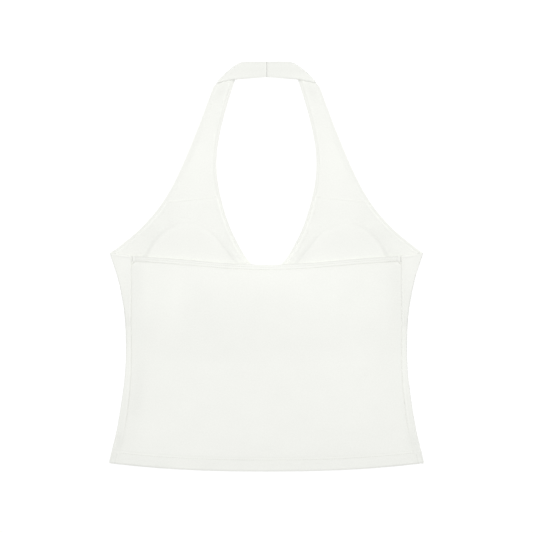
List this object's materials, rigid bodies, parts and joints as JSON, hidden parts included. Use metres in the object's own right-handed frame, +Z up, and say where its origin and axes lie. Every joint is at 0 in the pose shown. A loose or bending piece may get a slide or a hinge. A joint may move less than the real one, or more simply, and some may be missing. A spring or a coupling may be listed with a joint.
{
  "type": "halter neck top",
  "caption": "Cropped halter neck top in stretch jersey with bust lining and pads, laid flat with its back up.",
  "frame": {"origin": "middle of the laid garment's outline, on the surface that it lies on", "axes": "+X across the garment, +Y from the hem to the neck, +Z up from the surface, out of the garment's back"},
  "size_m": [0.365, 0.4744, 0.0087],
  "materials": {
    "jersey": "matte off-white fine stretch jersey",
    "lining_jersey": "matte off-white fine stretch jersey",
    "pad_foam": "matte cloth-covered foam"
  },
  "bodies": {
    "root": {"front_panel": "jersey", "front_strap_left": "jersey", "front_strap_right": "jersey", "back_panel": "jersey", "back_top_band": "jersey", "bust_lining": "lining_jersey", "bust_pad_left": "pad_foam", "bust_pad_right": "pad_foam"}
  },
  "joints": []
}
